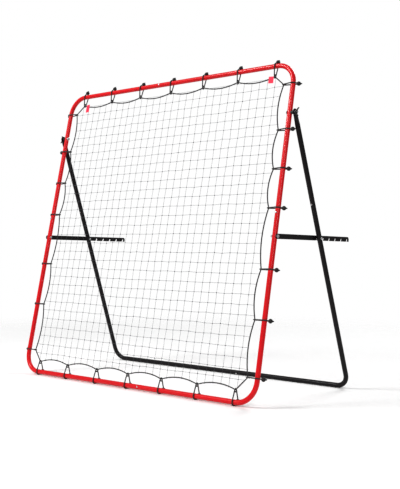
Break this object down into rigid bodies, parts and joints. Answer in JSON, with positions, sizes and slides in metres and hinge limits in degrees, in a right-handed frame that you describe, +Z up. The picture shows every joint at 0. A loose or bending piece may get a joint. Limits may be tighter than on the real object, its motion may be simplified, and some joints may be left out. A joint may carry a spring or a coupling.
{
  "type": "pitch back rebounder",
  "caption": "Folding ball rebounder: a square tube frame with an elastic-hung net, leaning back on a folding U-shaped stand.",
  "frame": {"origin": "on the floor under the middle of the object's box", "axes": "+X to the viewer's right across the frame, +Y from the net towards the stand at the rear, +Z up"},
  "size_m": [1.5774, 0.7306, 1.4934],
  "materials": {
    "red_tube": "gloss",
    "black_tube": "satin",
    "zinc": "satin",
    "spring_steel": "satin",
    "black_plastic": "matte",
    "net_twine": "matte",
    "edge_cord": "matte",
    "elastic": "matte",
    "rubber_ball": "matte",
    "tag": "matte"
  },
  "bodies": {
    "frame": {"frame_top_left": "red_tube", "frame_top_right": "red_tube", "frame_bottom_right": "red_tube", "frame_bottom_left": "red_tube", "frame_button_springs": "spring_steel", "pivot_bolt_left": "zinc", "pivot_bolt_right": "zinc", "pivot_spacer_left": "black_plastic", "pivot_spacer_right": "black_plastic", "pivot_washers": "zinc", "bar_bolt_left": "zinc", "bar_bolt_right": "zinc", "bar_nut_left": "zinc", "bar_nut_right": "zinc", "bar_washers": "zinc", "net": "net_twine", "net_edge_cord": "edge_cord", "net_tag_left": "tag", "net_tag_right": "tag", "bungee_cords_top": "elastic", "bungee_cords_bottom": "elastic", "bungee_cords_left": "elastic", "bungee_cords_right": "elastic", "bungee_cords_pivot": "elastic", "bungee_balls_top": "rubber_ball", "bungee_balls_bottom": "rubber_ball", "bungee_balls_left": "rubber_ball", "bungee_balls_right": "rubber_ball", "bungee_balls_pivot": "rubber_ball"},
    "stand": {"stand_leg_left": "black_tube", "stand_leg_right": "black_tube", "stand_corner_left": "black_tube", "stand_corner_right": "black_tube", "stand_button_springs": "spring_steel", "leg_pin_left": "zinc", "leg_pin_right": "zinc"},
    "left_bar": {"adjuster_bar_left": "black_tube"},
    "right_bar": {"adjuster_bar_right": "black_tube"},
    "left_wing_nut": {"wing_nut_left": "black_plastic"},
    "right_wing_nut": {"wing_nut_right": "black_plastic"},
    "frame_button_top": {"frame_button_top": "zinc"},
    "frame_button_right": {"frame_button_right": "zinc"},
    "frame_button_bottom": {"frame_button_bottom": "zinc"},
    "frame_button_left": {"frame_button_left": "zinc"},
    "stand_button_right": {"stand_button_right": "zinc"},
    "stand_button_left": {"stand_button_left": "zinc"},
    "stand_button_base": {"stand_button_base": "zinc"}
  },
  "joints": [
    {"name": "stand_fold", "type": "hinge", "parent": "frame", "child": "stand", "pos_m": [0, -0.09276, 1.23743], "axis": [-1, 0, 0], "range_deg": [0, 21.82], "deforming": ["bungee_cords_pivot", "bungee_balls_pivot"]},
    {"name": "left_bar_swing", "type": "hinge", "parent": "frame", "child": "left_bar", "pos_m": [-0.753, -0.20523, 0.69905], "axis": [1, 0, 0], "range_deg": [0, 61.19]},
    {"name": "right_bar_swing", "type": "hinge", "parent": "frame", "child": "right_bar", "pos_m": [0.753, -0.20523, 0.69905], "axis": [1, 0, 0], "range_deg": [0, 61.19]},
    {"name": "left_wing_nut_turn", "type": "hinge", "parent": "frame", "child": "left_wing_nut", "pos_m": [-0.775, -0.09276, 1.23743], "axis": [1, 0, 0], "continuous": true},
    {"name": "right_wing_nut_turn", "type": "hinge", "parent": "frame", "child": "right_wing_nut", "pos_m": [0.775, -0.09276, 1.23743], "axis": [1, 0, 0], "continuous": true},
    {"name": "frame_button_top_press", "type": "slide", "parent": "frame", "child": "frame_button_top", "axis": [0, 0.9789, -0.2045], "range_m": [0, 0.0042], "stiffness_N_per_m": 1200, "springref_m": -0.004, "deforming": ["frame_button_springs"]},
    {"name": "frame_button_right_press", "type": "slide", "parent": "frame", "child": "frame_button_right", "axis": [0, 0.9789, -0.2045], "range_m": [0, 0.0042], "stiffness_N_per_m": 1200, "springref_m": -0.004, "deforming": ["frame_button_springs"]},
    {"name": "frame_button_bottom_press", "type": "slide", "parent": "frame", "child": "frame_button_bottom", "axis": [0, 0.9789, -0.2045], "range_m": [0, 0.0042], "stiffness_N_per_m": 1200, "springref_m": -0.004, "deforming": ["frame_button_springs"]},
    {"name": "frame_button_left_press", "type": "slide", "parent": "frame", "child": "frame_button_left", "axis": [0, 0.9789, -0.2045], "range_m": [0, 0.0042], "stiffness_N_per_m": 1200, "springref_m": -0.004, "deforming": ["frame_button_springs"]},
    {"name": "stand_button_right_press", "type": "slide", "parent": "stand", "child": "stand_button_right", "axis": [0, 0.9453, 0.3261], "range_m": [0, 0.0042], "stiffness_N_per_m": 1200, "springref_m": -0.004, "deforming": ["stand_button_springs"]},
    {"name": "stand_button_left_press", "type": "slide", "parent": "stand", "child": "stand_button_left", "axis": [0, 0.9453, 0.3261], "range_m": [0, 0.0042], "stiffness_N_per_m": 1200, "springref_m": -0.004, "deforming": ["stand_button_springs"]},
    {"name": "stand_button_base_press", "type": "slide", "parent": "stand", "child": "stand_button_base", "axis": [0, 0.9453, 0.3261], "range_m": [0, 0.0042], "stiffness_N_per_m": 1200, "springref_m": -0.004, "deforming": ["stand_button_springs"]}
  ],
  "couplings": [
    {"joint": "left_bar_swing", "follows": "stand_fold", "ratio": 2.8036},
    {"joint": "right_bar_swing", "follows": "stand_fold", "ratio": 2.8036}
  ]
}
